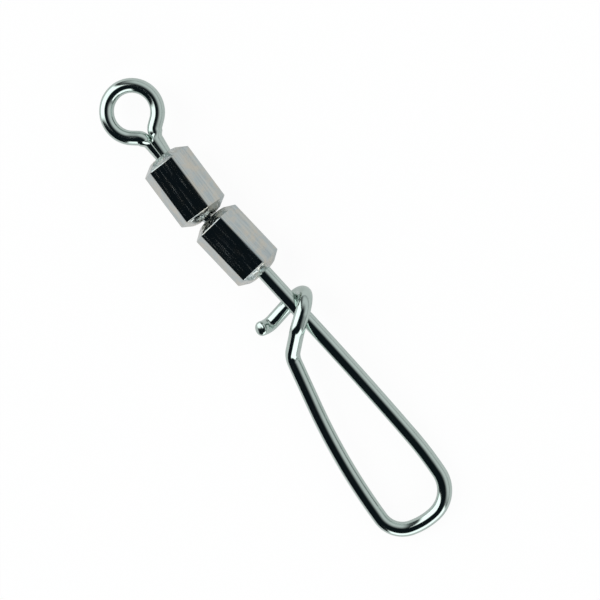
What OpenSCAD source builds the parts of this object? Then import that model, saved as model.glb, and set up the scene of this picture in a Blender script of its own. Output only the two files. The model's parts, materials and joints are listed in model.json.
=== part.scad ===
// Fishing snap swivel: two hexagonal barrels turning on a double-headed link,
// a line eye swaged from one wire, and a hooked snap bent from one wire.
// Millimetres. It lies flat: the lower barrel's axis runs along +X, +Z is up,
// and the origin is under the middle of the part, on the surface it lies on.

/* [Barrels] */
// Distance across opposite flats of the hexagon
barrel_across_flats = 4.5; // [4.2:0.05:5.5]
// Length over both crimped ends
barrel_length = 7; // [6.4:0.1:10]
// How far each end is folded in, along the barrel
crimp_depth = 0.7; // [0.5:0.05:0.9]
// Slope of the folded facets, measured from the barrel's axis
crimp_angle = 56; // [50:1:60]
// Radius of the domed lip that closes each end
crimp_dome_r = 5.5; // [4.5:0.1:8]
// Thickness of the folded wall at the lip
crimp_wall = 0.45; // [0.35:0.05:0.6]
// Bore that the heads turn in
barrel_bore_d = 3.6; // [3.45:0.05:3.8]
// Hole in the crimped end that the line eye's shank leaves by
eye_hole_d = 2.15; // [2.1:0.01:2.3]
// Holes in the crimped ends that the link's neck runs in
link_hole_d = 2.05; // [2:0.01:2.2]
// Hole in the crimped end that the snap's shank leaves by
snap_hole_d = 1.95; // [1.92:0.01:2.1]

/* [Heads and link] */
// Diameter of the upset heads
head_d = 2.8; // [2.6:0.05:2.9]
// Length of a head
head_length = 1; // [0.7:0.05:1.2]
// Width of the chamfer on a head's inner rim
head_chamfer = 0.2; // [0.1:0.05:0.3]
// Length of the cone that bears on the crimped end
head_cone = 0.4; // [0.2:0.05:0.5]
// From a barrel's end to the middle of the head inside it
head_inset = 1.6; // [1.4:0.05:2]
// Diameter of the link's neck
link_neck_d = 1.5; // [1.2:0.05:1.55]
// Gap between the two barrels, on the link's axis
barrel_gap = 0.2; // [0.18:0.02:0.6]
// Angle between the two barrels as they lie
barrel_kink = 6.9; // [0:0.1:7]

/* [Line eye] */
// Diameter of the eye's wire
eye_wire_d = 1.36; // [1.1:0.02:1.4]
// Inside diameter of the ring
eye_inner_d = 3.45; // [2.8:0.05:6]
// From the barrel's end to the middle of the ring
eye_reach = 4.9; // [4.4:0.1:8]
// Diameter of the two legs swaged into one shank, in the barrel
eye_shank_d = 1.66; // [1.5:0.01:1.7]
// Diameter that the shank opens out to at the ring
eye_shank_end_d = 1.94; // [1.75:0.01:2]
// Radius in which each leg bends from the ring into the shank
eye_leg_bend_r = 0.72; // [0.72:0.02:1.2]
// How far the two round legs are pressed into each other
eye_leg_press = 0.04; // [0.02:0.01:0.12]
// Length over which the round legs are swaged down to the shank
eye_swage_length = 0.4; // [0.3:0.05:0.8]
// Depth of the seam between the two legs
eye_seam_depth = 0.12; // [0.06:0.01:0.2]
// How far the eye lies to the side in its barrel
eye_aside = 0.14; // [0:0.01:0.15]
// How far the eye lies low in its barrel
eye_low = 0.08; // [0:0.01:0.1]
// Angle that the eye swings sideways in its barrel
eye_swing = 0.5; // [0:0.1:0.8]
// Angle that the eye droops in its barrel
eye_droop = 1.5; // [0:0.1:1.6]

/* [Snap] */
// Diameter of the snap's wire
wire_d = 1.4; // [1.2:0.02:1.42]
// From the barrel's end to the middle of the wire at the far end
snap_reach = 27.25; // [25:0.05:34]
// From the barrel's end to the place where the long arm starts to lean
arm_lean_at = 13.9; // [12:0.1:15]
// From the barrel's end to the place where the long arm leans more
arm_turn_at = 22.1; // [20.5:0.1:22.5]
// Sideways place of that turn
arm_turn_offset = 0.24; // [0.1:0.01:0.5]
// Sideways place of the far end's right corner
right_corner_offset = 0.95; // [0.7:0.05:1.4]
// Bend radius of the far end's right corner
right_corner_r = 3.2; // [2.5:0.1:3.4]
// Sideways place where the far edge turns back
nose_offset = 4.9; // [4.4:0.1:5.3]
// How far the far edge has come back at the left corner
nose_slant = 1; // [0.7:0.05:1.4]
// Sideways place of the far end's left corner
left_corner_offset = 7.9; // [7.4:0.05:8.8]
// Bend radius of the far end's left corner
left_corner_r = 2.4; // [2:0.1:2.6]
// From the barrel's end to the middle of the spring arm's bow
bow_at = 17.8; // [16.2:0.1:19]
// Sideways place of the spring arm's bow
bow_offset = 6.85; // [6.6:0.05:7.1]
// From the barrel's end to the kink where the spring arm turns to the hook
kink_at = 7.8; // [7.5:0.1:8.6]
// Sideways place of the kink
kink_offset = 3.55; // [3.3:0.05:3.8]
// Bend radius of the kink
kink_r = 1.5; // [1.2:0.1:2]
// From the barrel's end to where the hook crosses over the shank
hook_over_at = 5.05; // [4.9:0.05:5.4]
// From the barrel's end to where the hook crosses back under the shank
hook_under_at = 3.7; // [3.4:0.05:3.9]
// Gap between the hook and the shank
hook_gap = 0.05; // [0.03:0.01:0.07]
// Slant of the hook across the shank
hook_slant = 6; // [0:0.5:12]
// How far the level part of the hook starts short of the shank
hook_level = 1.1; // [1:0.05:1.4]
// Bend radius where the spring arm levels out over the shank
hook_rise_r = 1.8; // [1.2:0.1:2.4]
// How far short of the shank's middle the hook starts to turn back
hook_early = 0.14; // [0:0.01:0.2]
// Length of the tail beyond the shank, to its upturned tip
tail_length = 3.5; // [2.7:0.1:4]
// Length of the upturned tip
tail_tip_length = 1.25; // [1.1:0.05:1.6]
// Bend radius of the upturned tip
tail_tip_r = 1.1; // [0.8:0.1:1.3]
// Gap under the tail, where the far end of the snap rests on the surface
tail_lift = 0.03; // [0.01:0.01:0.05]
// How far the snap's head lies to the side in its barrel
snap_aside = 0.22; // [0.1:0.01:0.24]
// Angle that the snap swings sideways in its barrel
snap_swing = 1.8; // [0.8:0.1:2]

/* [Hidden] */

$fn = 64;
wire_colour = "#6f7678";
barrel_colour = "#2b3238";

wire_r = wire_d / 2;
eye_wire_r = eye_wire_d / 2;
axis_height = barrel_across_flats / 2;
half_barrel = barrel_length / 2;
// Middle of the lower barrel and of the head that carries the snap, on the X axis of the link
head_place = barrel_gap / 2 + head_inset;
lower_barrel_x = barrel_gap / 2 + half_barrel;
snap_head_x = barrel_gap / 2 + barrel_length - head_inset;
// From the link's head to the middle of a barrel, and from there to the other head
head_to_middle = half_barrel - head_inset;

// Wire paths: corner points with a bend at each, walked as a bender does

// What two bends leave straight between them at the least
least_straight = 0.12;
// A bend is this much thinner than the straight wire, and runs this far into the straights
bend_thinning = 0.01;
bend_overlap = 0.04;

function unit(v) = v / norm(v);
function turn_angle(a, b) = acos(max(-1, min(1, unit(a) * unit(b))));
function leg(points, i) = points[i + 1] - points[i];
function corner_angle(points, i) = turn_angle(leg(points, i - 1), leg(points, i));
// A corner is [radius, spread]: a tight bend has its radius, a bow the length it spreads each way
function wanted_setback(points, bends, i) =
    i == 0 || i == len(points) - 1 ? 0
    : bends[i][1] > 0 ? bends[i][1]
    : bends[i][0] * tan(corner_angle(points, i) / 2);
// Two bends that share a leg never need more than the leg has
function leg_share(points, bends, i) =
    let (wanted = wanted_setback(points, bends, i) + wanted_setback(points, bends, i + 1))
    min(1, (norm(leg(points, i)) - least_straight) / max(wanted, least_straight));
function setback(points, bends, i) =
    i == 0 || i == len(points) - 1 ? 0
    : wanted_setback(points, bends, i) * min(leg_share(points, bends, i - 1), leg_share(points, bends, i));
function bend_axis(points, i) = unit(cross(leg(points, i - 1), leg(points, i)));
function roll_about(along, from, to) = atan2(cross(from, to) * unit(along), from * to);
// Each step of a run is [straight length, roll, bend angle, bend radius]
function wire_steps(points, bends, up) = [
    for (i = [0 : len(points) - 2])
        let (
            straight = norm(leg(points, i)) - setback(points, bends, i) - setback(points, bends, i + 1),
            last = i == len(points) - 2,
            from = i == 0 ? up : bend_axis(points, i),
            to = last ? from : bend_axis(points, i + 1),
            angle = last ? 0 : corner_angle(points, i + 1),
            radius = last ? 0 : setback(points, bends, i + 1) / tan(angle / 2)
        )
        [straight, roll_about(leg(points, i), from, to), angle, radius]
];
// The centre that a bend turns about, for the part's overall size
function bend_centre(points, bends, i) =
    let (
        back = unit(-leg(points, i - 1)),
        on = unit(leg(points, i)),
        angle = corner_angle(points, i),
        radius = setback(points, bends, i) / tan(angle / 2)
    )
    points[i] + unit(back + on) * (radius / cos(angle / 2));

// Walks along +Y, with each bend turning about +Z towards -X
module wire_run(steps, r, i = 0) {
    straight = steps[i][0];
    angle = steps[i][2];
    radius = steps[i][3];
    overlap = bend_overlap / max(radius, r) * 180 / PI;
    if (straight > 0)
        rotate([-90, 0, 0])
            cylinder(h = straight, r = r);
    if (angle > 0)
        translate([0, straight, 0])
            rotate([0, steps[i][1], 0])
                translate([-radius, 0, 0]) {
                    rotate(-overlap)
                        rotate_extrude(angle = angle + 2 * overlap)
                            translate([radius, 0])
                                circle(r - bend_thinning / 2);
                    rotate(angle)
                        translate([radius, 0, 0])
                            wire_run(steps, r, i + 1);
                }
}

// Heads

// An upset head at the end of a round neck, centred on the origin, the neck leaving along +X
module head(neck_r) {
    head_r = head_d / 2;
    rotate([0, 90, 0])
        rotate_extrude()
            polygon([
                [0, -head_length / 2],
                [head_r - head_chamfer, -head_length / 2],
                [head_r, -head_length / 2 + head_chamfer],
                [head_r, head_length / 2 - head_cone],
                [neck_r + head_chamfer, head_length / 2],
                [0, head_length / 2]
            ]);
}

// Barrels

// One pair of opposite flats, with the facets that fold in at both ends
module flat_pair() {
    apothem = barrel_across_flats / 2;
    fold_start = half_barrel - crimp_depth;
    fold_end = apothem - crimp_depth * tan(crimp_angle);
    linear_extrude(height = 2 * barrel_across_flats, center = true)
        polygon([
            [-half_barrel, -fold_end],
            [-fold_start, -apothem],
            [fold_start, -apothem],
            [half_barrel, -fold_end],
            [half_barrel, fold_end],
            [fold_start, apothem],
            [-fold_start, apothem],
            [-half_barrel, fold_end]
        ]);
}

// The domed lip at one end: it reaches the barrel's full length at the rim of the hole
module end_dome(hole_d) {
    dome_back = sqrt(crimp_dome_r * crimp_dome_r - hole_d * hole_d / 4);
    translate([half_barrel - dome_back, 0, 0])
        rotate([0, 90, 0])
            sphere(r = crimp_dome_r);
}

// The round chamber that was bored before the ends were folded over the heads
module chamber(hole_a, hole_b) {
    bore_r = barrel_bore_d / 2;
    chamber_half = half_barrel - crimp_wall;
    shoulder = crimp_wall;
    rotate([0, 90, 0])
        rotate_extrude()
            polygon([
                [0, -chamber_half],
                [hole_a / 2 + shoulder / 2, -chamber_half],
                [bore_r, -chamber_half + shoulder],
                [bore_r, chamber_half - shoulder],
                [hole_b / 2 + shoulder / 2, chamber_half],
                [0, chamber_half]
            ]);
    for (end = [[-1, hole_a], [1, hole_b]])
        rotate([0, 90 * end[0], 0])
            cylinder(h = barrel_length, d = end[1]);
}

// A barrel on the X axis, hole_a at its -X end and hole_b at its +X end, a flat facing down
module barrel(hole_a, hole_b) {
    difference() {
        intersection() {
            rotate([30, 0, 0])
                flat_pair();
            rotate([90, 0, 0])
                flat_pair();
            rotate([150, 0, 0])
                flat_pair();
            end_dome(hole_b);
            mirror([1, 0, 0])
                end_dome(hole_a);
        }
        chamber(hole_a, hole_b);
    }
}

// Line eye

ring_r = (eye_inner_d + eye_wire_d) / 2;
eye_length = head_inset + eye_reach;
// Each leg lies at leg_y, bends outwards by leg_turn, runs straight and goes over into the ring
leg_y = eye_wire_r - eye_leg_press / 2;
leg_to_ring = ring_r + eye_leg_bend_r;
leg_turn = acos((leg_y + eye_leg_bend_r) / norm([leg_to_ring, least_straight])) - atan(least_straight / leg_to_ring);
shank_length = eye_length - leg_to_ring * sin(leg_turn) - least_straight * cos(leg_turn);
// From the barrel's end to where the shank starts to open out
lip_margin = 0.15;

// Shank with its head, opening out towards the ring, its end drawn in between the legs
module shank() {
    shank_r = eye_shank_d / 2;
    head(shank_r);
    rotate([0, 90, 0])
        rotate_extrude()
            polygon([
                [0, 0],
                [shank_r, 0],
                [shank_r, head_inset + lip_margin],
                [eye_shank_end_d / 2, shank_length - eye_swage_length],
                [shank_r / 2, shank_length],
                [0, shank_length]
            ]);
}

// The seam between the legs, pressed in along both faces of the shank
module shank_seam() {
    seam = eye_seam_depth * sqrt(2);
    seam_start = head_inset + lip_margin;
    opening = atan((eye_shank_end_d - eye_shank_d) / 2 / (shank_length - eye_swage_length - seam_start));
    for (face = [0, 180])
        rotate([face, 0, 0])
            translate([seam_start, 0, eye_shank_d / 2])
                rotate([0, -opening, 0])
                    rotate([45, 0, 0])
                        translate([0, -seam / 2, -seam / 2])
                            cube([shank_length, seam, seam]);
}

// The two legs as they come out of the ring, pressed down to the shank over the swage length
module swaged_legs() {
    root = eye_swage_length / 2;
    length = eye_swage_length + root;
    slope = (leg_y + eye_wire_r - eye_shank_end_d / 2) / (eye_swage_length - least_straight);
    translate([shank_length - length, 0, 0])
        rotate([0, 90, 0])
            intersection() {
                cylinder(
                    h = length,
                    r1 = eye_shank_end_d / 2 - root * slope,
                    r2 = eye_shank_end_d / 2 + eye_swage_length * slope
                );
                for (side = [-1, 1])
                    translate([0, side * leg_y, 0])
                        cylinder(h = length, r = eye_wire_r);
            }
}

// The eye from its head at the origin, the ring's middle on +X, flat in the XY plane
module eye_wire() {
    difference() {
        shank();
        shank_seam();
    }
    swaged_legs();
    translate([shank_length, -leg_y, 0])
        rotate(-90)
            rotate([0, 180, 0])
                wire_run([
                    [0, 0, leg_turn, eye_leg_bend_r],
                    [least_straight, 180, 180 + 2 * leg_turn, ring_r],
                    [least_straight, 180, leg_turn, eye_leg_bend_r],
                    [0, 0, 0, 0]
                ], eye_wire_r);
}

module line_eye() {
    color(wire_colour)
        in_upper_barrel()
            translate([-head_to_middle, eye_aside, -eye_low])
                rotate([0, -eye_droop, -eye_swing])
                    rotate([0, 0, 180])
                        eye_wire();
}

// Snap

far_s = head_inset + snap_reach;
hook_rise = wire_d + hook_gap;
over_s = head_inset + hook_over_at;
under_s = head_inset + hook_under_at;
// Unit vectors of the hook: along its upper wire, and from that wire to the lower one
hook_along = [-sin(hook_slant), cos(hook_slant), 0];
hook_down = [under_s - over_s, 0, -2 * hook_rise];
hook_r = norm(hook_down) / 2;
over_point = [over_s, 0, hook_rise];
under_point = over_point + hook_down;
tail_end = under_point - hook_along * tail_length;
tail_tip_way = unit([-0.45, -0.5, 0.74]);

// Corner points of the wire, from the head at the origin, in the plane of the snap
snap_points = [
    [0, 0, 0],
    [head_inset + arm_lean_at, 0, 0],
    [head_inset + arm_turn_at, -arm_turn_offset, 0],
    [far_s, -right_corner_offset, 0],
    [far_s, -nose_offset, 0],
    [far_s - nose_slant, -left_corner_offset, 0],
    [head_inset + bow_at, -bow_offset, 0],
    [head_inset + kink_at, -kink_offset, 0],
    over_point - hook_along * hook_level,
    over_point + hook_along * (hook_r - hook_early),
    under_point + hook_along * (hook_r - hook_early),
    tail_end,
    tail_end + tail_tip_way * tail_tip_length
];
// Bends at those points: [radius, spread]
snap_bends = [
    [0, 0],
    [0, 7.3],
    [0, 2.2],
    [right_corner_r, 0],
    [0, 1],
    [left_corner_r, 0],
    [0, 5.9],
    [kink_r, 0],
    [hook_rise_r, 0],
    [hook_r, 0],
    [hook_r, 0],
    [tail_tip_r, 0],
    [0, 0]
];

// The far end rests on the surface and the tail just clears it
tail_height = wire_r + tail_lift + hook_rise;
snap_pitch = atan((tail_height - wire_r) / (far_s - under_s));
snap_head_height = tail_height + under_s * tan(snap_pitch);

module snap_wire() {
    head(wire_r);
    rotate(-90)
        wire_run(wire_steps(snap_points, snap_bends, [0, 0, 1]), wire_r);
}

module snap() {
    color(wire_colour)
        on_surface()
            translate([snap_head_x, snap_aside, snap_head_height])
                rotate([0, snap_pitch, -snap_swing])
                    snap_wire();
}

// Link and barrels in place

module link() {
    color(barrel_colour)
        on_surface()
            translate([0, 0, axis_height]) {
                rotate([0, 90, 0])
                    cylinder(h = 2 * head_place, d = link_neck_d, center = true);
                for (side = [0, 180])
                    rotate([0, 0, side])
                        translate([-head_place, 0, 0])
                            head(link_neck_d / 2);
            }
}

module lower_barrel() {
    color(barrel_colour)
        on_surface()
            translate([lower_barrel_x, 0, axis_height])
                barrel(link_hole_d, snap_hole_d);
}

module upper_barrel() {
    color(barrel_colour)
        in_upper_barrel()
            barrel(eye_hole_d, link_hole_d);
}

// Puts its children in the upper barrel's frame, turned about the link's head
module in_upper_barrel() {
    on_surface()
        translate([-head_place, 0, axis_height])
            rotate([0, 0, -barrel_kink])
                translate([-head_to_middle, 0, 0])
                    children();
}

// Overall size, which sets the origin under the middle of the part

eye_lean = barrel_kink + eye_swing;
ring_x = -head_place - 2 * head_to_middle * cos(barrel_kink) + eye_aside * sin(barrel_kink)
    - eye_length * cos(eye_lean) * cos(eye_droop);
ring_y = 2 * head_to_middle * sin(barrel_kink) + eye_aside * cos(barrel_kink)
    + eye_length * sin(eye_lean) * cos(eye_droop);
ring_outer_r = ring_r + eye_wire_r;
// A place in the snap's plane, as it lies, seen from above
function snap_place(p) =
    let (level = p[0] * cos(snap_pitch))
    [
        snap_head_x + level * cos(snap_swing) + p[1] * sin(snap_swing),
        snap_aside + p[1] * cos(snap_swing) - level * sin(snap_swing)
    ];
right_corner_reach = snap_place(bend_centre(snap_points, snap_bends, 3))[0] + right_corner_r;
left_corner_reach = snap_place(bend_centre(snap_points, snap_bends, 5))[1] - left_corner_r;
least_x = ring_x - ring_outer_r;
most_x = right_corner_reach + wire_r;
least_y = left_corner_reach - wire_r;
most_y = ring_y + ring_outer_r;

module on_surface() {
    translate([-(least_x + most_x) / 2, -(least_y + most_y) / 2, 0])
        children();
}

line_eye();
upper_barrel();
link();
lower_barrel();
snap();
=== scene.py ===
"""Scene of a fishing snap swivel, lying on a pale floor and seen from above.

The wire eye, the two hexagonal barrels, the link between them and the hooked
snap are modelled here over the frame's solids, in metres, in the frame's place.
"""

import json
import logging
import math
from dataclasses import dataclass, field
from enum import Enum

import bmesh
import bpy
import numpy as np
from mathutils import Matrix, Vector


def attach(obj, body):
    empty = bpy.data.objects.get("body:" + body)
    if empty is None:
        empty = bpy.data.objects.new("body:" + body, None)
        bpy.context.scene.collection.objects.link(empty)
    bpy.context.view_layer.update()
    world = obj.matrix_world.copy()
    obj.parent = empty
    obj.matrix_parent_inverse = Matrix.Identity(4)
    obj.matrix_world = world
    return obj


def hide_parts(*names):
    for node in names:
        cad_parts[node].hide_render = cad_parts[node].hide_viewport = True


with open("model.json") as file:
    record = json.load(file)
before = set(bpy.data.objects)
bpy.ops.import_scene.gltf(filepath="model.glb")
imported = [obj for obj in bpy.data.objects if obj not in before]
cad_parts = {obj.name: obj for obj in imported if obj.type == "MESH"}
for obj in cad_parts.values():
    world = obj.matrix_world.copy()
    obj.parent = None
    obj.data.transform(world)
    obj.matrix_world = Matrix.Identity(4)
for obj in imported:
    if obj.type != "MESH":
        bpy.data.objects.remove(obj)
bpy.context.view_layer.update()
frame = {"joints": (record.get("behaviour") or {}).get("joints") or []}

log = logging.getLogger("snap_swivel")

MM = 0.001
# Points round a wire, and round the turned ends of a barrel
ROUND = 48
TURNED_ROUND = 128
# Edges of turned shapes flatter than this are shaded smooth, in degrees
TURNED_SMOOTH = 35
# The way along a wire is shrunk by this, which draws its pattern out into lines
DRAWN_OUT = 0.04
# Points of a mesh that are matched to the wire's middle line at a time
BLOCK = 2000


def start_clean() -> None:
    """Leave edit mode and deselect every object."""
    if bpy.context.object and bpy.context.object.mode != "OBJECT":
        bpy.ops.object.mode_set(mode="OBJECT")
    bpy.ops.object.select_all(action="DESELECT")


def pick(obj: bpy.types.Object) -> None:
    """Make one object the only selected and the active one.

    Args:
        obj: The object to work on.
    """
    start_clean()
    obj.select_set(True)
    bpy.context.view_layer.objects.active = obj


def named(name: str) -> bpy.types.Object:
    """Name the object that was just added, and its mesh.

    Args:
        name: The piece's name.

    Returns:
        The active object.
    """
    obj = bpy.context.object
    obj.name = name
    obj.data.name = name
    return obj


def settle(obj: bpy.types.Object, place: Matrix) -> None:
    """Move a finished piece to its place in the frame, in its own mesh.

    Args:
        obj: The piece, modelled about its own origin.
        place: Where that origin lies in the frame, and how it is turned.
    """
    pick(obj)
    obj.matrix_world = place
    bpy.ops.object.transform_apply(location=True, rotation=True, scale=True)


def close_up(obj: bpy.types.Object, smooth_angle: float) -> None:
    """Merge doubles, turn every face outwards and shade by angle.

    Args:
        obj: The piece.
        smooth_angle: Edges flatter than this are shaded smooth, in degrees.
    """
    pick(obj)
    bpy.ops.object.mode_set(mode="EDIT")
    bpy.ops.mesh.select_all(action="SELECT")
    bpy.ops.mesh.remove_doubles(threshold=1e-7)
    bpy.ops.mesh.normals_make_consistent(inside=False)
    bpy.ops.object.mode_set(mode="OBJECT")
    bpy.ops.object.shade_smooth_by_angle(angle=math.radians(smooth_angle))


@dataclass
class Corner:
    """A corner of a wire's middle line.

    Attributes:
        place: Where the two straights would meet, in mm.
        radius: Bend radius, in mm.
        spread: Length that a bow takes up each way, in mm, or 0 for a tight bend.
    """

    place: tuple[float, float, float]
    radius: float = 0.0
    spread: float = 0.0


@dataclass
class Bend:
    """One bend of a wire, with the straight before it.

    Attributes:
        start: Where the bend starts, in mm.
        middle: Centre that it turns about, in mm.
        axis: Axis that it turns about.
        angle: How far it turns, in radians.
    """

    start: Vector
    middle: Vector
    axis: Vector
    angle: float


def bends_of(corners: list[Corner], least_straight: float = 0.12) -> list[Bend]:
    """Round the corners of a wire as a bender does.

    Args:
        corners: The wire's corners, with its two ends.
        least_straight: What two bends leave straight between them at the least.

    Returns:
        The bends in order.
    """
    points = [Vector(c.place) for c in corners]
    legs = [b - a for a, b in zip(points, points[1:])]
    angles = [0.0] + [a.angle(b) for a, b in zip(legs, legs[1:])] + [0.0]
    wanted = [
        0.0 if angle == 0 else c.spread or c.radius * math.tan(angle / 2)
        for c, angle in zip(corners, angles)
    ]
    share = [
        min(1.0, (leg.length - least_straight) / max(a + b, least_straight))
        for leg, a, b in zip(legs, wanted, wanted[1:])
    ]
    bends = []
    for i in range(1, len(points) - 1):
        setback = wanted[i] * min(share[i - 1], share[i])
        radius = setback / math.tan(angles[i] / 2)
        back = -legs[i - 1].normalized()
        on = legs[i].normalized()
        middle = points[i] + (back + on).normalized() * (radius / math.cos(angles[i] / 2))
        axis = legs[i - 1].cross(legs[i]).normalized()
        bends.append(Bend(points[i] + back * setback, middle, axis, angles[i]))
    return bends


@dataclass
class WireRun:
    """A round wire that is drawn out and bent, ring of points by ring of points.

    Attributes:
        name: The piece's name.
        radius: The wire's radius, in mm.
        round: Points round the wire.
        arc: Longest step of a bend, in mm.
    """

    name: str
    radius: float
    round: int = ROUND
    arc: float = 0.16
    obj: bpy.types.Object = field(default=None, init=False)
    end: Vector = field(default=None, init=False)
    way: Vector = field(default=None, init=False)

    def begin(self, start: Vector, way: Vector) -> None:
        """Add the first ring of points, closed by a face.

        Args:
            start: Middle of the wire's end, in mm.
            way: The way that the wire runs.
        """
        start_clean()
        turn = way.to_track_quat("Z", "Y")
        bpy.ops.mesh.primitive_circle_add(
            vertices=self.round,
            radius=self.radius * MM,
            fill_type="NGON",
            location=start * MM,
            rotation=turn.to_euler(),
        )
        self.obj = named(self.name)
        bpy.ops.object.transform_apply(location=True, rotation=True, scale=True)
        bpy.ops.object.mode_set(mode="EDIT")
        bpy.ops.mesh.select_all(action="SELECT")
        self.end = start.copy()
        self.way = way.normalized()

    def straight(self, length: float, step: float = 0.5) -> None:
        """Draw the wire on, straight.

        Args:
            length: How far, in mm.
            step: Longest step, in mm.
        """
        count = max(1, math.ceil(length / step))
        for _ in range(count):
            bpy.ops.mesh.extrude_region_move(
                TRANSFORM_OT_translate={"value": self.way * (length / count * MM)}
            )
        self.end = self.end + self.way * length

    def neck(self, length: float, scale: float) -> None:
        """Draw the wire on by one step and change its thickness.

        Args:
            length: How far, in mm.
            scale: New thickness as a share of the old one.
        """
        bpy.ops.mesh.extrude_region_move(
            TRANSFORM_OT_translate={"value": self.way * (length * MM)}
        )
        self.end = self.end + self.way * length
        bpy.ops.transform.resize(value=(scale, scale, scale), center_override=self.end * MM)

    def bend(self, middle: Vector, axis: Vector, angle: float) -> None:
        """Bend the wire on.

        Args:
            middle: Centre of the bend, in mm.
            axis: Axis of the bend.
            angle: How far it turns, in radians.
        """
        reach = (self.end - middle).length + self.radius
        bpy.ops.mesh.spin(
            steps=max(2, math.ceil(angle * reach / self.arc)),
            dupli=False,
            angle=-angle,
            center=middle * MM,
            axis=axis,
        )
        turn = Matrix.Rotation(angle, 3, axis)
        self.end = middle + turn @ (self.end - middle)
        self.way = (turn @ self.way).normalized()

    def run_to(self, place: Vector) -> None:
        """Draw the wire on to a place straight ahead.

        Args:
            place: Where to, in mm.
        """
        length = (place - self.end).length
        if length > 1e-4:
            self.straight(length)

    def finish(self) -> bpy.types.Object:
        """Leave edit mode.

        Returns:
            The wire's object.
        """
        bpy.ops.object.mode_set(mode="OBJECT")
        return self.obj


@dataclass(frozen=True)
class Head:
    """An upset head, in mm."""

    radius: float = 1.4
    length: float = 1.0
    chamfer: float = 0.2
    cone: float = 0.4
    inset: float = 1.6


def upset_head(wire: WireRun, neck_r: float, size: Head) -> None:
    """Draw a head from its outer face to its neck, the wire starting at its rim.

    Args:
        wire: The wire, begun at the head's outer face.
        neck_r: Radius of the neck, in mm.
        size: The head's sizes.
    """
    outer = size.radius - size.chamfer
    wire.neck(size.chamfer, size.radius / outer)
    wire.straight(size.length - size.chamfer - size.cone)
    wire.neck(size.cone, (neck_r + size.chamfer) / size.radius)
    wire.neck(0.0, neck_r / (neck_r + size.chamfer))


def linear(code: str) -> tuple[float, float, float, float]:
    """Turn an sRGB hex colour to linear.

    Args:
        code: Six hex digits after a hash.

    Returns:
        The linear colour, with alpha 1.
    """
    parts = [int(code[i : i + 2], 16) / 255 for i in (1, 3, 5)]
    return (*[p / 12.92 if p <= 0.04045 else ((p + 0.055) / 1.055) ** 2.4 for p in parts], 1.0)


def add_node(
    tree: bpy.types.NodeTree, kind: str, settings: dict | None = None, links: dict | None = None
) -> bpy.types.Node:
    """Add a node with its settings and links.

    Args:
        tree: The node tree.
        kind: The node's type.
        settings: Property names, or socket names and numbers, with their values.
        links: Input socket names or numbers with the output sockets they take.

    Returns:
        The node.
    """
    node = tree.nodes.new(kind)
    for key, value in (settings or {}).items():
        if isinstance(key, str) and hasattr(node, key):
            setattr(node, key, value)
        else:
            node.inputs[key].default_value = value
    for key, output in (links or {}).items():
        tree.links.new(output, node.inputs[key])
    return node


@dataclass(frozen=True)
class NickelWire:
    """Drawn steel wire, bent, tumbled and plated in dark bright nickel.

    It mirrors what is round it a little darkly, with a faint green cast, and fine
    lines along the wire from the die break the edges of each reflection.
    """

    name: str = "bright_nickel_wire"
    colour: str = "#c6d4ce"
    worn: str = "#b2bfba"
    roughness: float = 0.09
    # Die lines 0.05 mm apart at the real wire, drawn 0.12 mm apart so that they show
    line_mm: float = 0.12
    # Cloudy patches of the plating, about 1.5 mm across
    patch_mm: float = 1.5

    def make(self) -> bpy.types.Material:
        """Build the material.

        Returns:
            The material.
        """
        mat = bpy.data.materials.new(self.name)
        mat.use_nodes = True
        tree = mat.node_tree
        tree.nodes.clear()
        drawn = add_node(tree, "ShaderNodeAttribute", {"attribute_name": "drawn"})
        lines = add_node(
            tree,
            "ShaderNodeTexNoise",
            {"Scale": 1 / (self.line_mm * MM), "Detail": 3.0, "Roughness": 0.6},
            {"Vector": drawn.outputs["Vector"]},
        )
        place = add_node(tree, "ShaderNodeTexCoord")
        patches = add_node(
            tree,
            "ShaderNodeTexNoise",
            {"Scale": 1 / (self.patch_mm * MM), "Detail": 4.0, "Roughness": 0.55},
            {"Vector": place.outputs["Object"]},
        )
        tint = add_node(
            tree,
            "ShaderNodeMix",
            {"data_type": "RGBA", 6: linear(self.colour), 7: linear(self.worn)},
            {0: patches.outputs["Fac"]},
        )
        rough = add_node(
            tree,
            "ShaderNodeMapRange",
            {1: 0.3, 2: 0.75, 3: self.roughness * 0.6, 4: self.roughness * 1.7},
            {0: patches.outputs["Fac"]},
        )
        height = add_node(
            tree,
            "ShaderNodeMath",
            {"operation": "MULTIPLY_ADD", 1: 0.35},
            {0: lines.outputs["Fac"], 2: patches.outputs["Fac"]},
        )
        bump = add_node(
            tree,
            "ShaderNodeBump",
            {"Strength": 0.35, "Distance": 0.012 * MM},
            {"Height": height.outputs[0]},
        )
        shader = add_node(
            tree,
            "ShaderNodeBsdfPrincipled",
            {"Metallic": 1.0},
            {
                "Base Color": tint.outputs[2],
                "Roughness": rough.outputs[0],
                "Normal": bump.outputs[0],
            },
        )
        add_node(tree, "ShaderNodeOutputMaterial", {}, {"Surface": shader.outputs[0]})
        return mat


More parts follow.
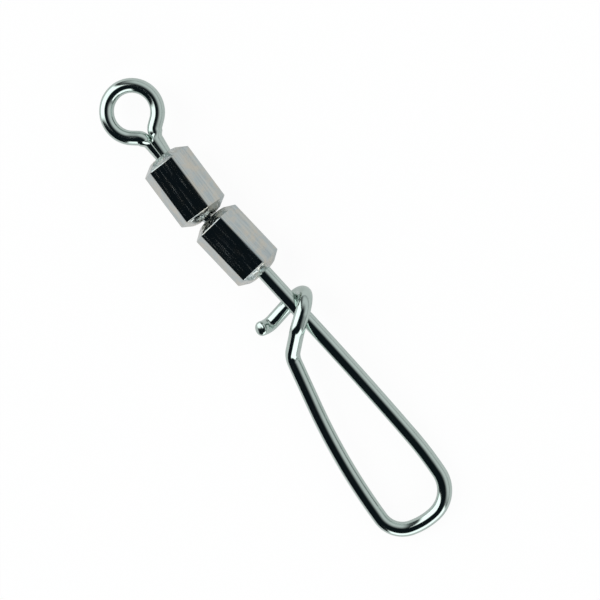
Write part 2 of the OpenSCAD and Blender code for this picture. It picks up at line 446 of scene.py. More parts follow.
@dataclass(frozen=True)
class BlackNickelBrass:
    """Hexagonal brass, drawn, bored and plated in black nickel.

    The flats mirror the room darkly, with streaks along the bar from drawing it,
    and the plating is a little bluer and greener in patches.
    """

    name: str = "black_nickel_brass"
    colour: str = "#c3c9c7"
    patch: str = "#aab5b8"
    warm: str = "#c9c4b8"
    roughness: float = 0.055
    # Streaks along the bar, drawn 0.25 mm apart so that they show
    streak_mm: float = 0.25
    # Cloudy patches, about 1 mm across
    patch_mm: float = 1.0
    # Creases where the ends were folded in, about 0.5 mm apart and 0.035 mm deep,
    # over the last 0.62 mm of each end
    crease_mm: float = 0.5
    crease_depth: float = 0.035
    fold: float = 0.62

    def make(self, axis: Vector, ends: tuple[float, float]) -> bpy.types.Material:
        """Build the material.

        Args:
            axis: The way that the bar was drawn, in the frame.
            ends: Where the bar's two ends lie along that way, in metres.

        Returns:
            The material.
        """
        mat = bpy.data.materials.new(self.name)
        mat.use_nodes = True
        tree = mat.node_tree
        tree.nodes.clear()
        place = add_node(tree, "ShaderNodeTexCoord")
        turn = axis.to_track_quat("X", "Z").inverted().to_euler()
        along = add_node(
            tree,
            "ShaderNodeMapping",
            {"vector_type": "POINT", "Rotation": turn},
            {"Vector": place.outputs["Object"]},
        )
        stretched = add_node(
            tree,
            "ShaderNodeMapping",
            {"vector_type": "POINT", "Scale": (0.06, 1.0, 1.0)},
            {"Vector": along.outputs[0]},
        )
        streaks = add_node(
            tree,
            "ShaderNodeTexNoise",
            {"Scale": 1 / (self.streak_mm * MM), "Detail": 4.0, "Roughness": 0.65},
            {"Vector": stretched.outputs[0]},
        )
        patches = add_node(
            tree,
            "ShaderNodeTexNoise",
            {"Scale": 1 / (self.patch_mm * MM), "Detail": 4.0, "Roughness": 0.6},
            {"Vector": along.outputs[0]},
        )
        streaked = add_node(
            tree,
            "ShaderNodeMapRange",
            {1: 0.35, 2: 0.65, 3: 0.0, 4: 1.0},
            {0: streaks.outputs["Fac"]},
        )
        cool = add_node(
            tree,
            "ShaderNodeMix",
            {"data_type": "RGBA", 6: linear(self.colour), 7: linear(self.patch)},
            {0: streaked.outputs[0]},
        )
        warmth = add_node(
            tree,
            "ShaderNodeMapRange",
            {1: 0.42, 2: 0.62, 3: 0.0, 4: 0.8},
            {0: patches.outputs["Fac"]},
        )
        tint = add_node(
            tree,
            "ShaderNodeMix",
            {"data_type": "RGBA", 7: linear(self.warm)},
            {0: warmth.outputs[0], 6: cool.outputs[2]},
        )
        rough = add_node(
            tree,
            "ShaderNodeMapRange",
            {1: 0.48, 2: 0.72, 3: self.roughness, 4: self.roughness * 5.5},
            {0: streaks.outputs["Fac"]},
        )
        height = add_node(
            tree,
            "ShaderNodeMath",
            {"operation": "MULTIPLY_ADD", 1: 0.5},
            {0: streaks.outputs["Fac"], 2: patches.outputs["Fac"]},
        )
        bump = add_node(
            tree,
            "ShaderNodeBump",
            {"Strength": 0.4, "Distance": 0.006 * MM},
            {"Height": height.outputs[0]},
        )
        split = add_node(tree, "ShaderNodeSeparateXYZ", {}, {0: along.outputs[0]})
        inner = self.fold * MM
        far_end = add_node(
            tree,
            "ShaderNodeMapRange",
            {1: ends[1] - inner, 2: ends[1] - inner * 0.6, 3: 0.0, 4: 1.0},
            {0: split.outputs[0]},
        )
        near_end = add_node(
            tree,
            "ShaderNodeMapRange",
            {1: ends[0] + inner * 0.6, 2: ends[0] + inner, 3: 1.0, 4: 0.0},
            {0: split.outputs[0]},
        )
        folded = add_node(
            tree,
            "ShaderNodeMath",
            {"operation": "ADD"},
            {0: far_end.outputs[0], 1: near_end.outputs[0]},
        )
        creases = add_node(
            tree,
            "ShaderNodeTexNoise",
            {
                "Scale": 1 / (self.crease_mm * MM),
                "Detail": 2.0,
                "Roughness": 0.5,
                "Distortion": 0.6,
            },
            {"Vector": along.outputs[0]},
        )
        pressed = add_node(
            tree,
            "ShaderNodeMath",
            {"operation": "MULTIPLY"},
            {0: creases.outputs["Fac"], 1: folded.outputs[0]},
        )
        bump = add_node(
            tree,
            "ShaderNodeBump",
            # Drawn four times as deep as the creases are, so that they show
            {"Strength": 1.0, "Distance": self.crease_depth * MM * 4},
            {"Height": pressed.outputs[0], "Normal": bump.outputs[0]},
        )
        shader = add_node(
            tree,
            "ShaderNodeBsdfPrincipled",
            {"Metallic": 1.0},
            {
                "Base Color": tint.outputs[2],
                "Roughness": rough.outputs[0],
                "Normal": bump.outputs[0],
            },
        )
        add_node(tree, "ShaderNodeOutputMaterial", {}, {"Surface": shader.outputs[0]})
        return mat


def note_drawn(obj: bpy.types.Object, radius: float, middles: np.ndarray) -> None:
    """Store where each point lies on the drawn wire, for the lines along it.

    The attribute is (across, across, along) in metres, the way along shrunk, so
    that a pattern on it runs along the wire.

    Args:
        obj: The wire, before it is moved to its place.
        radius: The wire's radius, in mm.
        middles: Points on its middle line in order, in mm, one row each.
    """
    mesh = obj.data
    places = np.empty(len(mesh.vertices) * 3)
    mesh.vertices.foreach_get("co", places)
    places = places.reshape(-1, 3) / MM
    ways = np.gradient(middles, axis=0)
    ways /= np.linalg.norm(ways, axis=1)[:, None]
    along = np.concatenate([[0], np.cumsum(np.linalg.norm(np.diff(middles, axis=0), axis=1))])
    side = np.zeros_like(ways)
    first = np.cross(ways[0], [0.1, 0.2, 1.0])
    side[0] = first / np.linalg.norm(first)
    for i in range(1, len(ways)):
        s = side[i - 1] - ways[i] * np.dot(side[i - 1], ways[i])
        side[i] = s / np.linalg.norm(s)
    up = np.cross(ways, side)
    near = np.empty(len(places), dtype=int)
    for start in range(0, len(places), BLOCK):
        block = places[start : start + BLOCK]
        near[start : start + BLOCK] = np.argmin(
            ((block[:, None, :] - middles[None, :, :]) ** 2).sum(axis=2), axis=1
        )
    out = places - middles[near]
    angle = np.arctan2((out * up[near]).sum(axis=1), (out * side[near]).sum(axis=1))
    noted = np.stack(
        [np.cos(angle) * radius, np.sin(angle) * radius, along[near] * DRAWN_OUT], axis=1
    )
    layer = mesh.attributes.new("drawn", "FLOAT_VECTOR", "POINT")
    layer.data.foreach_set("vector", (noted * MM).astype(np.float32).ravel())


def joint(name: str) -> dict:
    """Look up a joint of the frame by its name."""
    return next(j for j in frame["joints"] if j["name"] == name)


def turned_about(name: str, flip: bool = False) -> Matrix:
    """Place of a joint, with +X along its axis and +Z as near up as it goes.

    Args:
        name: The joint's name.
        flip: Whether +X runs against the joint's axis.

    Returns:
        The place as a matrix.
    """
    found = joint(name)
    way = Vector(found["axis"]) * (-1 if flip else 1)
    side = Vector((0, 0, 1)).cross(way).normalized()
    up = way.cross(side)
    place = Matrix((way, side, up)).transposed().to_4x4()
    place.translation = Vector(found["pos_m"])
    return place


@dataclass
class Snap:
    """The snap: a long arm from its head, a rounded far end, and a hook round the arm.

    Lengths in mm, from the middle of its head, in the snap's plane. Slants in degrees.
    """

    wire_r: float = 0.7
    head: Head = Head()
    hook_rise: float = 1.45
    over_at: float = 6.85
    under_at: float = 5.3
    over_slant: float = 31.0
    under_slant: float = 6.0
    hook_early: float = 0.14
    tail: float = 3.5
    tip: float = 1.25
    tip_r: float = 1.1
    tip_way: tuple[float, float, float] = (-0.33, -0.5, 0.79)
    tip_rim_r: float = 0.3
    over_lead: float = 1.1
    rise_r: float = 1.8
    loop: tuple[Corner, ...] = (
        # The long arm, from the head, bowed a little
        Corner((0, 0, 0)),
        Corner((15.5, 0, 0), spread=7.3),
        Corner((23.7, -0.24, 0), spread=2.2),
        # Round the far end
        Corner((28.85, -0.95, 0), radius=3.2),
        Corner((28.85, -4.9, 0), spread=1),
        Corner((27.85, -7.9, 0), radius=2.4),
        # The bowed spring arm, and the kink where it ends
        Corner((19.4, -6.85, 0), spread=5.9),
        Corner((9.1, -3.45, 0), radius=1.7),
    )

    def corners(self) -> list[Corner]:
        """Corners of the wire's middle line, from the head.

        Returns:
            The corners, with both ends.
        """
        along, back = (
            Vector((-math.sin(math.radians(slant)), math.cos(math.radians(slant)), 0))
            for slant in (self.over_slant, self.under_slant)
        )
        over = Vector((self.over_at, 0, self.hook_rise))
        under = Vector((self.under_at, 0, -self.hook_rise))
        turn_r = (over - under).length / 2
        reach = turn_r - self.hook_early
        tail_end = under - back * self.tail
        tip_end = tail_end + Vector(self.tip_way).normalized() * self.tip
        return [
            *self.loop,
            Corner(tuple(over - along * self.over_lead), radius=self.rise_r),
            Corner(tuple(over + along * reach), radius=turn_r),
            Corner(tuple(under + back * reach), radius=turn_r),
            Corner(tuple(tail_end), radius=self.tip_r),
            Corner(tuple(tip_end)),
        ]

    def build(self) -> bpy.types.Object:
        """Model the snap.

        Returns:
            The snap's object, in its place.
        """
        corners = self.corners()
        wire = WireRun("snap_wire", self.head.radius - self.head.chamfer)
        wire.begin(Vector((-self.head.length / 2, 0, 0)), Vector((1, 0, 0)))
        upset_head(wire, self.wire_r, self.head)
        wire.radius = self.wire_r
        middles = [np.array([-self.head.length / 2, 0.0, 0.0]), np.array(wire.end)]
        for bend in bends_of(corners):
            wire.run_to(bend.start)
            middles.append(np.array(wire.end))
            count = max(6, math.ceil(bend.angle * 30))
            for i in range(1, count):
                turn = Matrix.Rotation(bend.angle * i / count, 3, bend.axis)
                middles.append(np.array(bend.middle + turn @ (wire.end - bend.middle)))
            wire.bend(bend.middle, bend.axis, bend.angle)
            middles.append(np.array(wire.end))
        tip_end = Vector(corners[-1].place)
        wire.straight((tip_end - wire.end).length - self.tip_rim_r, 0.12)
        self.cropped_tip(wire)
        middles.append(np.array(tip_end))
        obj = wire.finish()
        close_up(obj, 40)
        dense = [middles[0]]
        for a, b in zip(middles, middles[1:]):
            count = max(1, math.ceil(np.linalg.norm(b - a) / 0.3))
            dense += [a + (b - a) * i / count for i in range(1, count + 1)]
        note_drawn(obj, self.wire_r, np.array(dense))
        settle(obj, turned_about("snap_turn"))
        return obj

    def cropped_tip(self, wire: WireRun) -> None:
        """Round the cropped end of the wire over.

        Args:
            wire: The wire, drawn to where the rounding starts.
        """
        steps = 8
        rounding = self.tip_rim_r
        radius = self.wire_r
        for i in range(1, steps + 1):
            turn = math.pi / 2 * i / steps
            before = math.pi / 2 * (i - 1) / steps
            new = self.wire_r - rounding * (1 - math.cos(turn))
            wire.neck(rounding * (math.sin(turn) - math.sin(before)), new / radius)
            radius = new
        # The middle of the cropped end stands 0.04 mm proud
        wire.neck(0.03, 0.55)
        wire.neck(0.01, 0.4)

    def dress(self, obj: bpy.types.Object, finish: bpy.types.Material) -> None:
        """Give the snap its finish and its body.

        Args:
            obj: The piece.
            finish: The wire's material.
        """
        obj.data.materials.append(finish)
        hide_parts("snap")
        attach(obj, "snap")


@dataclass
class LineEye:
    """The line eye: one wire bent to a ring, its two legs swaged into one shank.

    Lengths in mm, from the middle of its head, the ring on +X. leg_turn in degrees.
    """

    wire_r: float = 0.68
    ring_r: float = 2.405
    reach: float = 6.5
    leg_bend_r: float = 0.72
    leg_press: float = 0.04
    leg_turn: float = 52.0
    shank_r: float = 0.83
    shank_end_r: float = 0.97
    opens_from: float = 1.75
    swage: float = 0.5
    seam_rim_r: float = 0.16
    seam_half: float = 0.01
    starts_at: float = 0.2
    step: float = 0.12
    neck_inset: float = 0.05
    neck_length: float = 0.3
    head: Head = Head()

    def build(self) -> bpy.types.Object:
        """Model the eye as one wire, head to head.

        Returns:
            The eye's object, in its place.
        """
        leg_y = self.wire_r - self.leg_press / 2
        turn = math.radians(self.leg_turn)
        setback = self.leg_bend_r * math.tan(turn / 2)
        side = self.ring_r * math.cos(turn) - leg_y
        shank = self.reach - self.ring_r * math.sin(turn) - side / math.tan(turn) - setback
        leg = side / math.sin(turn) - setback
        up = Vector((0, 0, 1))
        wire = WireRun("eye_wire", self.wire_r, arc=self.step)
        wire.begin(Vector((self.starts_at, leg_y, 0)), Vector((1, 0, 0)))
        wire.straight(shank - self.starts_at, self.step)
        wire.bend(Vector((shank, leg_y + self.leg_bend_r, 0)), up, turn)
        wire.straight(leg, self.step)
        wire.bend(Vector((self.reach, 0, 0)), -up, math.pi + 2 * turn)
        wire.straight(leg, self.step)
        wire.bend(Vector((shank, -leg_y - self.leg_bend_r, 0)), up, turn)
        wire.straight(shank - self.starts_at, self.step)
        obj = wire.finish()
        self.swage_legs(obj, shank, leg_y)
        close_up(obj, 60)
        note_drawn(obj, self.wire_r, self.middles(shank, leg_y, turn))
        settle(obj, turned_about("line_eye_turn", flip=True))
        return obj

    def middles(self, shank: float, leg_y: float, turn: float) -> np.ndarray:
        """Points on the wire's middle line, in mm, for the lines along it.

        Args:
            shank: Length of the shank, in mm.
            leg_y: Place of each leg beside the shank's middle, in mm.
            turn: How far each leg turns out into the ring, in radians.

        Returns:
            One row for each point.
        """
        leg = [(x, leg_y, 0.0) for x in np.linspace(0, shank, 20)]
        half = [
            (self.reach + self.ring_r * math.cos(a), self.ring_r * math.sin(a), 0.0)
            for a in np.linspace(math.pi / 2 + turn, 0, 40)
        ]
        other = [(x, -y, z) for x, y, z in reversed(leg + half[:-1])]
        return np.array(leg + half + other)

    def swage_legs(self, obj: bpy.types.Object, shank: float, leg_y: float) -> None:
        """Press the two round legs into half-round ones that make one shank.

        Each leg's round section goes over into a half disc with a rounded rim,
        so that a seam stays between the two.

        Args:
            obj: The bent wire.
            shank: Length of the shank, in mm.
            leg_y: Place of each leg beside the shank's middle, in mm.
        """
        widest_at = shank - self.swage
        for vertex in obj.data.vertices:
            x, y, z = (c / MM for c in vertex.co)
            if x > shank + 1e-4:
                continue
            side = 1 if y > 0 else -1
            share = min(1.0, max(0.0, (shank - x) / self.swage))
            share = share * share * (3 - 2 * share)
            opening = (x - self.opens_from) / (widest_at - self.opens_from)
            opening = min(1.0, max(0.0, opening))
            outer = self.shank_r + (self.shank_end_r - self.shank_r) * opening
            angle = math.atan2(z, side * y - leg_y)
            pressed = self.half_disc(angle, outer)
            new_y = side * ((1 - share) * side * y + share * pressed[0])
            new_z = (1 - share) * z + share * pressed[1]
            vertex.co = Vector((x, new_y, new_z)) * MM

    def half_disc(self, angle: float, outer: float) -> tuple[float, float]:
        """Place on the rim of a half disc that has its straight side at y 0.

        Args:
            angle: Direction from the wire's middle, 0 pointing outwards.
            outer: The half disc's radius, in mm.

        Returns:
            The place beside the shank's middle and its height, in mm.
        """
        rim, seam = self.seam_rim_r, self.seam_half
        centre = outer * 0.45
        way = (math.cos(angle), math.sin(angle))
        low, high = 0.0, 2 * outer
        for _ in range(30):
            reach = (low + high) / 2
            y, z = centre + way[0] * reach, abs(way[1] * reach)
            corner = math.sqrt(max(0.0, (outer - rim) ** 2 - rim * rim))
            inside = y >= seam and math.hypot(y, z) <= outer
            if inside and y < rim + seam and z > corner:
                inside = math.hypot(y - rim - seam, z - corner) <= rim
            if inside:
                low = reach
            else:
                high = reach
        return centre + way[0] * low, way[1] * low

    def head_piece(self) -> bpy.types.Object:
        """Model the upset head, which the two legs end in.

        Returns:
            The head's object, in its place.
        """
        wire = WireRun("eye_head", self.head.radius - self.head.chamfer)
        wire.begin(Vector((-self.head.length / 2, 0, 0)), Vector((1, 0, 0)))
        upset_head(wire, self.shank_r - self.neck_inset, self.head)
        wire.straight(self.neck_length)
        obj = wire.finish()
        close_up(obj, 40)
        settle(obj, turned_about("line_eye_turn", flip=True))
        return obj

    def dress(self, obj: bpy.types.Object, finish: bpy.types.Material) -> None:
        """Give the eye its finish and its body.

        Args:
            obj: The piece.
            finish: The wire's material.
        """
        obj.data.materials.append(finish)
        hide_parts("line_eye")
        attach(obj, "line_eye")


class Place(Enum):
    """Which of the two barrels."""

    UPPER = "upper_barrel"
    LOWER = "lower_barrel"


@dataclass
class Barrel:
    """A hexagonal barrel, bored, with both ends folded in over the heads.

    Lengths in mm, on the X axis, a flat facing down. crimp_angle in degrees.
    """

    place: Place
    hole_a: float
    hole_b: float
    across: float = 4.5
    length: float = 7.0
    crimp_depth: float = 0.7
    crimp_angle: float = 56.0
    dome_r: float = 5.5
    wall: float = 0.45
    bore: float = 3.6
    edge_r: float = 0.2
    rim_r: float = 0.06
    dome_reach: float = 3.2
    dome_steps: int = 14

    def hexagon(self) -> bpy.types.Object:
        """Model the folded hexagonal bar.

        Returns:
            The bar's object.
        """
        apothem = self.across / 2
        half = self.length / 2
        fold = half - self.crimp_depth
        fold_end = apothem - self.crimp_depth * math.tan(math.radians(self.crimp_angle))
        start_clean()
        bpy.ops.mesh.primitive_cylinder_add(
            vertices=6,
            radius=apothem / math.cos(math.pi / 6) * MM,
            depth=2 * fold * MM,
            end_fill_type="NGON",
            rotation=(0, math.pi / 2, 0),
        )
        obj = named(self.place.value + "_shell")
        bpy.ops.object.transform_apply(location=True, rotation=True, scale=True)
        turn = Matrix.Rotation(self.turn_to_flat(obj), 4, "X")
        obj.matrix_world = turn
        bpy.ops.object.transform_apply(location=True, rotation=True, scale=True)
        bpy.ops.object.mode_set(mode="EDIT")
        for end in (-1, 1):
            bpy.ops.mesh.select_all(action="DESELECT")
            bpy.ops.mesh.select_mode(type="FACE")
            shape = bmesh.from_edit_mesh(obj.data)
            for face in shape.faces:
                face.select = face.normal.x * end > 0.9
            bmesh.update_edit_mesh(obj.data)
            bpy.ops.mesh.extrude_region_move(
                TRANSFORM_OT_translate={"value": (end * self.crimp_depth * MM, 0, 0)}
            )
            scale = fold_end / apothem
            bpy.ops.transform.resize(
                value=(1, scale, scale), center_override=(end * half * MM, 0, 0)
            )
        bpy.ops.mesh.select_mode(type="EDGE")
        bpy.ops.mesh.select_all(action="DESELECT")
        shape = bmesh.from_edit_mesh(obj.data)
        for edge in shape.edges:
            a, b = (v.co for v in edge.verts)
            edge.select = min(abs(a.x), abs(b.x)) < (half - 0.01) * MM and abs(a.x - b.x) > 0.1 * MM
        bmesh.update_edit_mesh(obj.data)
        bpy.ops.mesh.bevel(offset=self.edge_r * MM, segments=4, affect="EDGES")
        bpy.ops.object.mode_set(mode="OBJECT")
        return obj

    @staticmethod
    def turn_to_flat(obj: bpy.types.Object) -> float:
        """How far the hexagon turns about X to bring a flat down.

        Args:
            obj: The hexagonal bar.

        Returns:
            The angle in radians.
        """
        face = next(p for p in obj.data.polygons if abs(p.normal.x) < 0.1)
        lean = math.atan2(face.normal.z, face.normal.y)
        step = math.pi / 3
        return -((lean - math.pi / 2) % step)

    def lathe(self) -> bpy.types.Object:
        """Turn the domed ends and the bore, as a ring that the hexagon is cut with.

        Returns:
            The turned shape's object.
        """
        half = self.length / 2
        inner = half - self.wall
        bore_r = self.bore / 2
        ends = {}
        for end, hole in ((-1, self.hole_a / 2), (1, self.hole_b / 2)):
            back = math.sqrt(self.dome_r**2 - hole**2)
            rows = []
            for i in range(self.dome_steps + 1):
                radius = hole + (self.dome_reach - hole) * i / self.dome_steps
                rise = math.sqrt(self.dome_r**2 - radius**2)
                rows.append((end * (half - back + rise), radius))
            ends[end] = rows
        profile = (
            list(reversed(ends[-1]))
            + [
                (-inner, self.hole_a / 2),
                (-inner, self.hole_a / 2 + self.wall / 2),
                (-inner + self.wall, bore_r),
                (inner - self.wall, bore_r),
                (inner, self.hole_b / 2 + self.wall / 2),
                (inner, self.hole_b / 2),
            ]
            + ends[1]
        )
        return spun(profile, self.place.value + "_turned", TURNED_ROUND, closed=True)

    def build(self) -> bpy.types.Object:
        """Model the barrel.

        Returns:
            The barrel's object, in its place.
        """
        turned = self.lathe()
        obj = self.hexagon()
        pick(obj)
        cut = obj.modifiers.new("turned_ends", "BOOLEAN")
        cut.operation = "INTERSECT"
        cut.solver = "EXACT"
        cut.object = turned
        bpy.ops.object.modifier_apply(modifier=cut.name)
        bpy.data.objects.remove(turned, do_unlink=True)
        pick(obj)
        bpy.ops.object.mode_set(mode="EDIT")
        bpy.ops.mesh.select_all(action="SELECT")
        bpy.ops.mesh.remove_doubles(threshold=2e-6)
        bpy.ops.mesh.dissolve_limited(angle_limit=math.radians(0.5))
        bpy.ops.object.mode_set(mode="OBJECT")
        rims = obj.modifiers.new("rims", "BEVEL")
        rims.width = self.rim_r * MM
        rims.segments = 3
        rims.limit_method = "ANGLE"
        rims.angle_limit = math.radians(22)
        bpy.ops.object.modifier_apply(modifier=rims.name)
        bpy.ops.object.shade_smooth_by_angle(angle=math.radians(TURNED_SMOOTH))
        flats = obj.modifiers.new("flat_flats", "WEIGHTED_NORMAL")
        flats.weight = 100
        flats.keep_sharp = True
        bpy.ops.object.modifier_apply(modifier=flats.name)
        settle(obj, self.where())
        return obj

    def where(self) -> Matrix:
        """Place of the barrel's middle in the frame.

        Returns:
            The place as a matrix.
        """
        to_middle = self.length / 2 - Head().inset
        if self.place is Place.LOWER:
            return turned_about("lower_barrel_turn") @ Matrix.Translation((to_middle * MM, 0, 0))
        return turned_about("upper_barrel_turn") @ Matrix.Translation((-to_middle * MM, 0, 0))

    def dress(self, obj: bpy.types.Object, finish: BlackNickelBrass) -> None:
        """Give the barrel its finish and its body.

        Args:
            obj: The piece.
            finish: The barrels' finish, made for this one's axis.
        """
        axis = Vector(joint(self.place.value + "_turn")["axis"])
        middle = self.where().translation.dot(axis)
        half = self.length / 2 * MM
        obj.data.materials.append(finish.make(axis, (middle - half, middle + half)))
        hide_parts(self.place.value)
        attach(obj, self.place.value)


def spun(
    profile: list[tuple[float, float]], name: str, steps: int, closed: bool
) -> bpy.types.Object:
    """Spin a profile about the X axis.

    Args:
        profile: Places along the axis and out from it, in mm.
        name: The piece's name.
        steps: Faces round the axis.
        closed: Whether the profile is a closed ring, or starts and ends on the axis.

    Returns:
        The piece's object.
    """
    start_clean()
    bpy.ops.mesh.primitive_circle_add(vertices=len(profile), radius=MM, fill_type="NOTHING")
    obj = named(name)
    bpy.ops.object.mode_set(mode="EDIT")
    shape = bmesh.from_edit_mesh(obj.data)
    shape.verts.ensure_lookup_table()
    for vertex, (x, out) in zip(shape.verts, profile):
        vertex.co = Vector((x, 0, out)) * MM
    if not closed:
        first, last = shape.verts[0], shape.verts[len(profile) - 1]
        for edge in list(shape.edges):
            if set(edge.verts) == {first, last}:
                shape.edges.remove(edge)
    bmesh.update_edit_mesh(obj.data)
    bpy.ops.mesh.select_all(action="SELECT")
    bpy.ops.mesh.spin(steps=steps, dupli=False, angle=2 * math.pi, center=(0, 0, 0), axis=(1, 0, 0))
    bpy.ops.mesh.select_all(action="SELECT")
    bpy.ops.mesh.remove_doubles(threshold=1e-6)
    bpy.ops.mesh.normals_make_consistent(inside=False)
    bpy.ops.object.mode_set(mode="OBJECT")
    return obj


@dataclass
class Link:
    """The link: a neck with a head in each barrel. Sizes in mm."""

    neck_r: float = 0.75
    head_place: float = 1.7
    head: Head = Head()

    def build(self) -> bpy.types.Object:
        """Model the link.

        Returns:
            The link's object, in its place.
        """
        h = self.head
        outer = self.head_place + h.length / 2
        inner = self.head_place - h.length / 2
        half = [
            (outer, 0.0),
            (outer, h.radius - h.chamfer),
            (outer - h.chamfer, h.radius),
            (inner + h.cone, h.radius),
            (inner, self.neck_r + h.chamfer),
            (inner, self.neck_r),
        ]
        profile = [(-x, out) for x, out in half] + list(reversed(half))
        obj = spun(profile, "link_pin", ROUND, closed=False)
        pick(obj)
        bpy.ops.object.shade_smooth_by_angle(angle=math.radians(TURNED_SMOOTH))
        to_middle = Matrix.Translation((-self.head_place * MM, 0, 0))
        settle(obj, turned_about("lower_barrel_turn") @ to_middle)
        return obj

    def dress(self, obj: bpy.types.Object, finish: BlackNickelBrass) -> None:
        """Give the link its finish and its body.

        Args:
            obj: The piece.
            finish: The barrels' finish.
        """
        obj.data.materials.append(finish.make(Vector((1, 0, 0)), (-1.0, 1.0)))
        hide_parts("link")
        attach(obj, "link")


@dataclass(frozen=True)
class Softbox:
    """A large soft panel of the room, as the metal mirrors it.

    Attributes:
        azimuth: Where its middle stands, in degrees from +X towards +Y.
        half_width: How far it reaches to either side, in degrees.
        low: Height of its lower edge above the horizon, in degrees.
        high: Height of its upper edge, in degrees.
        glow: Its brightness, where 1 shows as white.
        soft: Width over which its edges fade, in degrees.
    """

    azimuth: float
    half_width: float
    low: float
    high: float
    glow: float
    soft: float = 5.0

    def add_to(
        self, tree: bpy.types.NodeTree, way: bpy.types.NodeSocket, under: bpy.types.NodeSocket
    ) -> bpy.types.NodeSocket:
        """Add the panel's brightness to the room's.

        Args:
            tree: The world's node tree.
            way: The direction looked in.
            under: The brightness so far.

        Returns:
            The brightness with the panel.
        """
        turned = add_node(
            tree,
            "ShaderNodeVectorRotate",
            {"rotation_type": "Z_AXIS", "Angle": -math.radians(self.azimuth)},
            {"Vector": way},
        )
        parts = add_node(tree, "ShaderNodeSeparateXYZ", {}, {0: turned.outputs[0]})
        side = add_node(
            tree,
            "ShaderNodeMath",
            {"operation": "ARCTAN2"},
            {0: parts.outputs[1], 1: parts.outputs[0]},
        )
        away = add_node(tree, "ShaderNodeMath", {"operation": "ABSOLUTE"}, {0: side.outputs[0]})
        height = add_node(tree, "ShaderNodeMath", {"operation": "ARCSINE"}, {0: parts.outputs[2]})
        half, fade = math.radians(self.half_width), math.radians(self.soft) / 2
        within = self.edge(tree, away.outputs[0], half, fade, self.glow, 0.0)
        above = self.edge(tree, height.outputs[0], math.radians(self.low), fade, 0.0, 1.0)
        below = self.edge(tree, height.outputs[0], math.radians(self.high), fade, 1.0, 0.0)
        band = add_node(tree, "ShaderNodeMath", {"operation": "MULTIPLY"}, {0: above, 1: below})
        total = add_node(
            tree,
            "ShaderNodeMath",
            {"operation": "MULTIPLY_ADD"},
            {0: within, 1: band.outputs[0], 2: under},
        )
        return total.outputs[0]

    @staticmethod
    def edge(
        tree: bpy.types.NodeTree,
        value: bpy.types.NodeSocket,
        at: float,
        fade: float,
        before: float,
        after: float,
    ) -> bpy.types.NodeSocket:
        """Fade from one number to another as an angle passes an edge.

        Args:
            tree: The world's node tree.
            value: The angle.
            at: Where the edge is, in radians.
            fade: How far it fades each way, in radians.
            before: The number before the edge.
            after: The number after it.

        Returns:
            The faded number.
        """
        node = add_node(
            tree,
            "ShaderNodeMapRange",
            {"interpolation_type": "SMOOTHSTEP", 1: at - fade, 2: at + fade, 3: before, 4: after},
            {0: value},
        )
        return node.outputs[0]


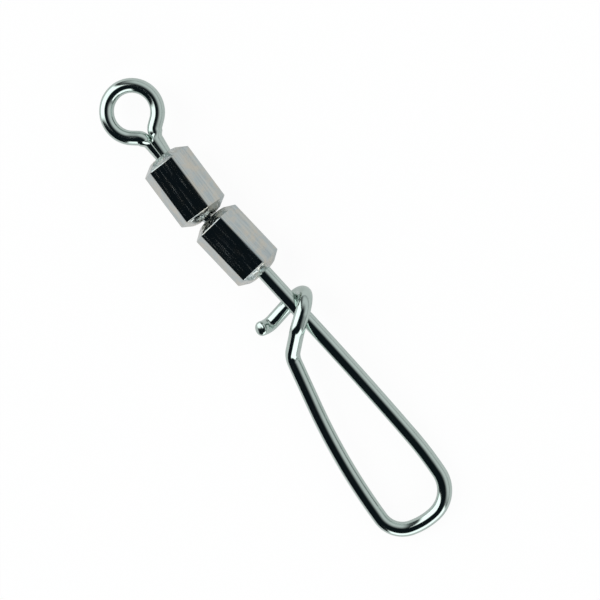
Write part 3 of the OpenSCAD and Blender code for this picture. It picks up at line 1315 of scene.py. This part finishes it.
@dataclass
class Studio:
    """Floor, world and camera of the photograph. There are no lamps.

    Lengths in metres, the lens in mm and the tilt in degrees.
    """

    lens: float = 135.0
    distance: float = 0.206
    tilt: float = 12.5
    image_x: tuple[float, float] = (0.688, 0.726)
    middle: tuple[float, float] = (0.00126, 0.00300)
    floor_size: float = 3.0
    floor_drop: float = 0.00002
    # How much of the floor's own shading the camera sees, and how much of its white
    # the metal mirrors
    shadow: float = 0.12
    mirrored_share: float = 0.5
    # Brightness and colour of the room above and between the panels
    dim: float = 0.018
    overhead: str = "#9cc4de"
    panels: tuple[Softbox, ...] = (
        # A tall window-like panel on the camera's left
        Softbox(211, 29, 0, 67, 1.9, soft=10),
        # A low panel beyond the snap's far end
        Softbox(330, 34, 0, 36, 1.9, soft=8),
        # A long pale wall on the far side, up to just short of overhead
        Softbox(85, 74, 0, 55, 0.8, soft=42),
    )

    def floor(self) -> None:
        """Add the floor, plain white, which keeps a faint shadow."""
        start_clean()
        bpy.ops.mesh.primitive_plane_add(
            size=self.floor_size, location=(0, 0, -self.floor_drop)
        )
        obj = named("floor")
        mat = bpy.data.materials.new("white_paper")
        mat.use_nodes = True
        tree = mat.node_tree
        tree.nodes.clear()
        paper = add_node(tree, "ShaderNodeBsdfDiffuse", {"Color": linear("#f4f4f4")})
        lit = add_node(tree, "ShaderNodeEmission", {"Strength": 1.06})
        rays = add_node(tree, "ShaderNodeLightPath")
        mirrored = add_node(
            tree,
            "ShaderNodeMath",
            {"operation": "MAXIMUM"},
            {0: rays.outputs["Is Glossy Ray"], 1: rays.outputs["Is Transmission Ray"]},
        )
        partly = add_node(
            tree,
            "ShaderNodeMath",
            {"operation": "MULTIPLY", 1: self.mirrored_share},
            {0: mirrored.outputs[0]},
        )
        share = add_node(
            tree,
            "ShaderNodeMath",
            {"operation": "MULTIPLY_ADD", 1: 1 - self.shadow},
            {0: rays.outputs["Is Camera Ray"], 2: partly.outputs[0]},
        )
        choice = add_node(
            tree,
            "ShaderNodeMixShader",
            {},
            {0: share.outputs[0], 1: paper.outputs[0], 2: lit.outputs[0]},
        )
        add_node(tree, "ShaderNodeOutputMaterial", {}, {"Surface": choice.outputs[0]})
        obj.data.materials.append(mat)

    def world(self) -> None:
        """Make the room dark, with its soft panels, and white to the camera."""
        world = bpy.data.worlds.new("room")
        bpy.context.scene.world = world
        world.use_nodes = True
        tree = world.node_tree
        tree.nodes.clear()
        place = add_node(tree, "ShaderNodeTexCoord")
        way = place.outputs["Generated"]
        none = add_node(tree, "ShaderNodeValue")
        none.outputs[0].default_value = 0.0
        total = none.outputs[0]
        for box in self.panels:
            total = box.add_to(tree, way, total)
        glow = add_node(
            tree,
            "ShaderNodeBackground",
            {"Color": linear("#fbfdfd")},
            {"Strength": total},
        )
        dark = add_node(
            tree, "ShaderNodeBackground", {"Color": linear(self.overhead), "Strength": self.dim}
        )
        room = add_node(tree, "ShaderNodeAddShader", {}, {0: glow.outputs[0], 1: dark.outputs[0]})
        white = add_node(tree, "ShaderNodeBackground", {"Strength": 1.0})
        rays = add_node(tree, "ShaderNodeLightPath")
        choice = add_node(
            tree,
            "ShaderNodeMixShader",
            {},
            {0: rays.outputs["Is Camera Ray"], 1: room.outputs[0], 2: white.outputs[0]},
        )
        add_node(tree, "ShaderNodeOutputWorld", {}, {"Surface": choice.outputs[0]})

    def camera(self) -> None:
        """Add the camera at the photograph's angle."""
        data = bpy.data.cameras.new("camera")
        data.lens = self.lens
        data.sensor_width = 36.0
        data.clip_start = 0.01
        data.clip_end = 20.0
        cam = bpy.data.objects.new("camera", data)
        bpy.context.scene.collection.objects.link(cam)
        tilt = math.radians(self.tilt)
        back = Vector((0, math.sin(tilt), math.cos(tilt)))
        depth_up = Vector((0, math.cos(tilt), -math.sin(tilt)))
        across = Vector((1, 0, 0)) * self.image_x[0] + depth_up * self.image_x[1]
        across.normalize()
        up = back.cross(across).normalized()
        target = Vector((self.middle[0], self.middle[1], 2.25 * MM))
        place = Matrix((across, up, back)).transposed().to_4x4()
        place.translation = target + back * self.distance
        cam.matrix_world = place
        bpy.context.scene.camera = cam

    def build(self) -> None:
        """Set up the whole studio."""
        scene = bpy.context.scene
        scene.view_settings.view_transform = "Standard"
        self.floor()
        self.world()
        self.camera()


def report(piece: bpy.types.Object) -> None:
    """Log a finished piece and how many faces it has."""
    log.info("%s: %d faces", piece.name, len(piece.data.polygons))


def main() -> None:
    """Build and dress the swivel and its studio, in order."""
    logging.basicConfig(level=logging.INFO, format="%(message)s")
    wire = NickelWire().make()
    brass = BlackNickelBrass()
    eye = LineEye()
    for piece in (eye.build(), eye.head_piece()):
        eye.dress(piece, wire)
        report(piece)
    barrels = (
        Barrel(Place.UPPER, hole_a=2.15, hole_b=2.05),
        Barrel(Place.LOWER, hole_a=2.05, hole_b=1.95),
    )
    for barrel in barrels:
        piece = barrel.build()
        barrel.dress(piece, brass)
        report(piece)
    link = Link()
    pin = link.build()
    link.dress(pin, brass)
    report(pin)
    snap = Snap()
    hooked = snap.build()
    snap.dress(hooked, wire)
    report(hooked)
    Studio().build()
    start_clean()


if __name__ == "__main__":
    main()
